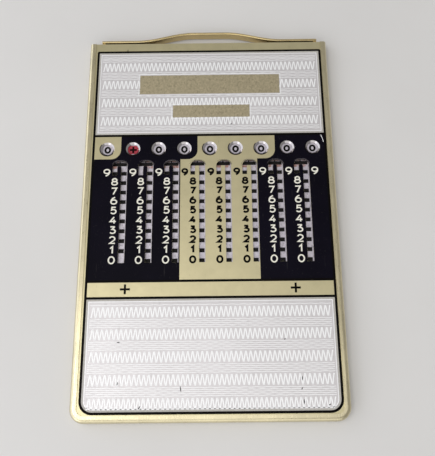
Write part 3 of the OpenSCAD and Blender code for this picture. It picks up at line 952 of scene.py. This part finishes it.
class ADDER_OT_signs(bpy.types.Operator):
    """Draws plus signs on the front band and minus signs on the back one"""

    bl_idname = "adder.signs"
    bl_label = "Signs on the Band"

    def execute(self, context):
        sizes = context.scene.adder_plate
        half = sizes.sign_size / 2
        for side in SIDES:
            film = Film(PLATE_Z, sizes.ink_t)
            for x in (sizes.sign_left, sizes.sign_right):
                y = sizes.sign_y
                film.stroke([(x - half, y), (x + half, y)], sizes.sign_w)
                if side == "front":
                    film.stroke([(x, y - half), (x, y + half)], sizes.sign_w, layer=1)
            film.lay(f"{side}_band_signs", side_place(side), black_ink(context.scene.adder_colour), "case")
        return {"FINISHED"}


class ADDER_OT_wear(bpy.types.Operator):
    """Draws the nicks, rubbed marks and scratch of long use, and painted shade beside the dishes"""

    bl_idname = "adder.wear"
    bl_label = "Wear and Dish Shade"

    # Middle, length and turn of each nick, in millimetres and degrees
    NICKS = (
        (-35.6, -52.3, 1.5, 5),
        (-35.4, -68.0, 1.5, 80),
        (-26.8, -76.9, 1.7, 60),
        (-11.2, -70.2, 2.6, 98),
        (29.2, -51.6, 0.9, 20),
        (35.3, -66.5, 1.8, 88),
        (35.0, -70.4, 1.2, 65),
        (35.6, -75.2, 2.2, 92),
        (45.2, -76.4, 1.2, 35),
        (9.8, 41.7, 0.9, 70),
        (-36.3, 78.6, 2.2, 86),
        (-31.6, -79.2, 1.1, 75),
        (22.4, -79.3, 0.7, 85),
        (32.6, -79.3, 0.7, 80),
    )
    # A nick's corners, along and across it, as shares of half its length and width
    NICK_SHAPE = ((-1, 0), (-0.3, 1), (0.4, 0.8), (1, 0), (0, -0.7))
    # Where the crescent of painted shade round a dish begins and ends, and the shift of its inner side
    SHADE_ARC = (140, 320)
    SHADE_SHIFT = 0.35
    # Where the rubbed marks over a slot begin, and for each mark how its turn grows from slot to slot,
    # its least turn and the span of its turns, all in degrees, then its distance from the slot and its
    # width in millimetres
    RUB_START = 10
    RUBS = ((37, 0, 60, 0.16, 0.16), (53, 20, 80, 0.42, 0.1))
    # The scratch beside the last window, in millimetres, and its width as a share of a nick's
    SCRATCH = ((48.3, 36.0), (48.8, 34.5), (49.3, 32.6))
    SCRATCH_W = 0.55

    def nicks(self, film, width):
        """Small lopsided nicks, pointed at both ends."""
        for x, y, long_mm, turn in self.NICKS:
            along = Vector((math.cos(math.radians(turn)), math.sin(math.radians(turn))))
            reach = along * long_mm * MM / 2
            across = Vector((-along.y, along.x)) * width / 2
            middle = Vector((x, y)) * MM
            film.area([tuple(middle + reach * a + across * b) for a, b in reversed(self.NICK_SHAPE)])

    def grime_and_shade(self, film, openings, width):
        """Painted shade: a dark crescent on the lower left of each dish, standing in for the shade on the
        pressing's outer wall.
        """
        start, end = self.SHADE_ARC
        shift = width * self.SHADE_SHIFT
        r = openings.dish_d / 2
        y = openings.window_y
        for x in SLIDER_X.values():
            outer = arc(x, y, r + width, r + width, start, end, 24)
            film.area(outer + arc(x + shift, y + shift, r, r, end, start, 24))

    def rubs(self, film, openings):
        """Thin arcs over each slot, where the stylus has run round the hook."""
        wide = (openings.tongue_w + openings.hook_w + openings.leg_w) / 2
        straight = wide - openings.arch_r
        low = openings.arch_y - openings.arch_r
        for k, x in SLOT_X.items():
            middle = x + (openings.leg_w - openings.hook_w) / 2
            for grow, least, span, gap, width in self.RUBS:
                r = openings.arch_r + gap * MM
                turn = least + k * grow % span
                right = arc(middle + straight, low, r, r, self.RUB_START, 90, 8)
                left = arc(middle - straight, low, r, r, 90, 90 + turn, 8)
                film.stroke(right + left, width * MM)

    def execute(self, context):
        sizes = context.scene.adder_plate
        openings = context.scene.adder_slot
        colours = context.scene.adder_colour
        front = side_place("front")
        nicks = Film(PLATE_Z, sizes.ink_t * NICK_LAYER)
        self.nicks(nicks, sizes.nick_w)
        nicks.lay("front_nicks", front, black_ink(colours), "case")
        for side in SIDES:
            # Painted shade on the lower left of each dish, on both plates
            grime_and_shade = Film(PLATE_Z, sizes.ink_t)
            self.grime_and_shade(grime_and_shade, openings, sizes.dish_shade_w)
            grime_and_shade.lay(f"{side}_dish_painted_shade", side_place(side), black_ink(colours), "case")
        rubs = Film(PLATE_Z, sizes.film_t * RUB_LAYER)
        self.rubs(rubs, openings)
        metal = flat_ink("rubbed_bare_metal", colours.rubbed, 0.35, 0.6, colours.enamel, 0.5, 0.5)
        rubs.lay("front_stylus_wear", front, metal, "case")
        scratch = Film(PLATE_Z, sizes.film_t * RUB_LAYER)
        scratch.stroke([(x * MM, y * MM) for x, y in self.SCRATCH], sizes.nick_w * self.SCRATCH_W)
        scratch.lay("front_scratch", front, bright_ink(colours), "case")
        return {"FINISHED"}


class ADDER_OT_sliders(bpy.types.Operator):
    """Finishes the sliders, the guide plate between them, black as painted shade for the notches, and the
    brake springs
    """

    bl_idname = "adder.sliders"
    bl_label = "Sliders and Guide Plate"

    def execute(self, context):
        colours = context.scene.adder_colour
        strip = handled_strip(colours)
        core = drawn_metal("brass_core_milled", [c * 0.8 for c in colours.brass], 0.35)
        # Near-black painted shade, so that the notches over the guide plate look dark
        guide_shade = drawn_metal("guide_plate_shade_black", colours.guide_shade, 0.55, 0.5)
        bronze = drawn_metal("spring_bronze_rolled", colours.bronze, 0.32)
        dress([f"{kind}_rack_{i}" for kind in ("add", "sub") for i in SLIDERS], strip)
        dress([f"slider_core_{i}" for i in SLIDERS], core)
        dress(["guide_plate"], guide_shade)
        dress([f"{side}_brake_spring" for side in SIDES], bronze)
        return {"FINISHED"}


class ADDER_OT_slider_numbers(bpy.types.Operator):
    """Prints the numbers, the carry teeth's paint and the red mark on both faces of each slider"""

    bl_idname = "adder.slider_numbers"
    bl_label = "Slider Numbers and Paint"

    # Bare metal along a slider's side, and how far the paint reaches over its last notch
    BARE_SIDE = 0.1 * MM
    PAINT_REACH = 0.5 * MM
    # The two figures of a ten, each with its place across in millimetres and its share of the width
    TEN = ((1, -1.15, 0.5), (0, 0.7, 0.68))
    TEN_STROKE = 0.7

    def comb(self, film, hand, rows, start, numbers, pitch):
        """Paint over the teeth of one side of a slider, from some height up."""
        outer = hand * (numbers.strip_half - self.BARE_SIDE)
        root = hand * (numbers.strip_half - numbers.notch_d)
        inner = hand * numbers.paint_in
        half = numbers.notch_h / 2
        end = row_y(rows[-1], pitch) + half + self.PAINT_REACH
        outline = [(inner, end), (inner, start), (outer, start)]
        for row in rows:
            y = row_y(row, pitch)
            outline += [(outer, y - half), (root, y - half), (root, y + half), (outer, y + half)]
        film.area(outline + [(outer, end)])

    def numbers_film(self, zero_y, up, numbers, pitch):
        """The numbers nought to ten up a slider, and the cross one row below nought."""
        # Twice as thick as the red field that the cross stands on
        ink = Film(STRIP_Z, 2 * numbers.strip_ink_t)
        shape = (numbers.strip_w, numbers.strip_h, numbers.strip_stroke)
        for n in range(10):
            ink.digit(n, 0, zero_y + up * n * pitch, *shape)
        ten_y = zero_y + up * 10 * pitch
        for figure, x, share in self.TEN:
            ink.digit(figure, x * MM, ten_y, shape[0] * share, shape[1], shape[2] * self.TEN_STROKE)
        mark_y = zero_y - up * pitch
        half = numbers.mark_size / 2
        ink.stroke([(-half, mark_y), (half, mark_y)], numbers.mark_w)
        ink.stroke([(0, mark_y - half), (0, mark_y + half)], numbers.mark_w, layer=1)
        return ink

    def execute(self, context):
        openings = context.scene.adder_slot
        numbers = context.scene.adder_number
        colours = context.scene.adder_colour
        red = flat_ink("red_printing_ink", colours.red, 0.45, 0.3, colours.worn)
        paint = worn_paint(colours)
        pitch = openings.row_pitch
        half = pitch / 2 - numbers.field_gap
        reach = numbers.field_half
        # Rows of teeth with paint on them: left and right of a slider's front, then of its back
        painted = {"front": (range(10, 20), range(10, 20)), "back": (range(1, 10), range(1, 11))}
        for i in SLIDERS:
            body = f"slider_{i}"
            for side in SIDES:
                place = side_place(side, SLIDER_X[i], REST_Y[i])
                up = 1 if side == "front" else -1
                ink = self.numbers_film(openings.window_y, up, numbers, pitch)
                ink.lay(f"slider_{i}_{side}_numbers", place, black_ink(colours), body, "slider_metal")
                field = Film(STRIP_Z, numbers.strip_ink_t)
                mark_y = openings.window_y - up * pitch
                field.area(box_outline(-reach, reach, mark_y - half, mark_y + half))
                field.lay(f"slider_{i}_{side}_mark_field", place, red, body, "slider_metal")
                teeth = Film(STRIP_Z, numbers.strip_ink_t)
                left_rows, right_rows = painted[side]
                start = row_y(left_rows[0] - 0.5, pitch) + numbers.field_gap
                # The outermost sliders have no slot, and so no paint, on their outer side
                if i > 1:
                    self.comb(teeth, -1, left_rows, start, numbers, pitch)
                if i < 9:
                    self.comb(teeth, 1, right_rows, start, numbers, pitch)
                teeth.lay(f"slider_{i}_{side}_painted_teeth", place, paint, body, "slider_metal")
        return {"FINISHED"}


class ADDER_OT_reset_bow(bpy.types.Operator):
    """Finishes the reset bow, its arms and the crossbar"""

    bl_idname = "adder.reset_bow"
    bl_label = "Reset Bow"

    def execute(self, context):
        colours = context.scene.adder_colour
        bow = lacquered_brass("brass_strip_polished", colours.bow, 0.2, (0.08, 1, 1))
        dress(["reset_bow", "reset_arm_left", "reset_arm_right", "reset_crossbar"], bow)
        return {"FINISHED"}


class ADDER_OT_stage(bpy.types.Operator):
    """Sets up the floor, the soft lamps and the camera"""

    bl_idname = "adder.stage"
    bl_label = "Floor, Lamps and Camera"

    # Tints of the lamps and of the room's light, and the width of the camera's sensor in millimetres
    WHITE = "FFFFFF"
    COOL = "F2F6FF"
    ROOM = "F6F5F4"
    SENSOR = 36

    def lamp(self, scene, name, place, sides, power, tint):
        """A soft lamp with these sides that faces the machine."""
        data = bpy.data.lights.new(name, "AREA")
        data.shape = "RECTANGLE"
        data.size, data.size_y = sides
        data.energy = power
        data.color = linear(tint)
        lamp = bpy.data.objects.new(name, data)
        lamp.location = place
        lamp.rotation_euler = (-Vector(place)).to_track_quat("-Z", "Y").to_euler()
        scene.collection.objects.link(lamp)

    def execute(self, context):
        scene = context.scene
        stage = scene.adder_stage
        half = stage.floor_size / 2
        floor_mesh = bpy.data.meshes.new("floor")
        corners = [(-half, -half, 0), (half, -half, 0), (half, half, 0), (-half, half, 0)]
        floor_mesh.from_pydata(corners, [], [(0, 1, 2, 3)])
        floor_mesh.materials.append(painted_floor(scene.adder_colour))
        floor = bpy.data.objects.new("floor", floor_mesh)
        scene.collection.objects.link(floor)

        key = (stage.key_size, stage.key_size)
        side = (stage.side_size, stage.strip_height)
        front = (stage.front_size, stage.strip_height)
        top = (stage.top_size, stage.top_size)
        self.lamp(scene, "key_lamp", stage.key_place, key, stage.key_power, self.WHITE)
        self.lamp(scene, "side_lamp", stage.side_place, side, stage.side_power, self.COOL)
        self.lamp(scene, "front_lamp", stage.front_place, front, stage.front_power, self.WHITE)
        self.lamp(scene, "top_lamp", stage.top_place, top, stage.top_power, self.WHITE)
        world = bpy.data.worlds.new("studio")
        world.use_nodes = True
        light = {"Color": toned(linear(self.ROOM)), "Strength": stage.world_strength}
        feed(world.node_tree, world.node_tree.nodes["Background"], light)
        scene.world = world

        data = bpy.data.cameras.new("camera")
        data.lens = stage.focal
        data.sensor_width = self.SENSOR
        data.clip_start = 0.01
        camera = bpy.data.objects.new("camera", data)
        camera.location = stage.camera_place
        camera.rotation_euler = Euler(stage.camera_turn)
        scene.collection.objects.link(camera)
        scene.camera = camera
        scene.view_settings.view_transform = "Standard"
        return {"FINISHED"}


OPERATORS = (
    ADDER_OT_case,
    ADDER_OT_plates,
    ADDER_OT_dark_panels,
    ADDER_OT_silver_panels,
    ADDER_OT_zigzags,
    ADDER_OT_lines,
    ADDER_OT_slot_numbers,
    ADDER_OT_signs,
    ADDER_OT_wear,
    ADDER_OT_sliders,
    ADDER_OT_slider_numbers,
    ADDER_OT_reset_bow,
    ADDER_OT_stage,
)


class ADDER_PT_sidebar(bpy.types.Panel):
    """Lists the steps that finish the adding machine, and their sizes and colours"""

    bl_idname = "ADDER_PT_sidebar"
    bl_label = "Adding Machine"
    bl_space_type = "VIEW_3D"
    bl_region_type = "UI"
    bl_category = "Adding Machine"

    def draw(self, context):
        steps = self.layout.column(align=True)
        for operator in OPERATORS:
            steps.operator(operator.bl_idname)
        for group_name in GROUPS:
            group = getattr(context.scene, group_name)
            box = self.layout.box()
            for name in group.bl_rna.properties.keys():
                if name not in ("rna_type", "name"):
                    box.prop(group, name)


def register():
    """Registers the sizes and colours, the operators and the sidebar panel."""
    for name, group in GROUPS.items():
        bpy.utils.register_class(group)
        setattr(bpy.types.Scene, name, bpy.props.PointerProperty(type=group))
    for operator in OPERATORS:
        bpy.utils.register_class(operator)
    bpy.utils.register_class(ADDER_PT_sidebar)


def unregister():
    """Takes all of it out again."""
    bpy.utils.unregister_class(ADDER_PT_sidebar)
    for operator in reversed(OPERATORS):
        bpy.utils.unregister_class(operator)
    for name, group in reversed(GROUPS.items()):
        delattr(bpy.types.Scene, name)
        bpy.utils.unregister_class(group)


def main():
    """Finishes the machine, one operator after another."""
    register()
    for operator in OPERATORS:
        group, name = operator.bl_idname.split(".")
        getattr(getattr(bpy.ops, group), name)()


if __name__ == "__main__":
    main()
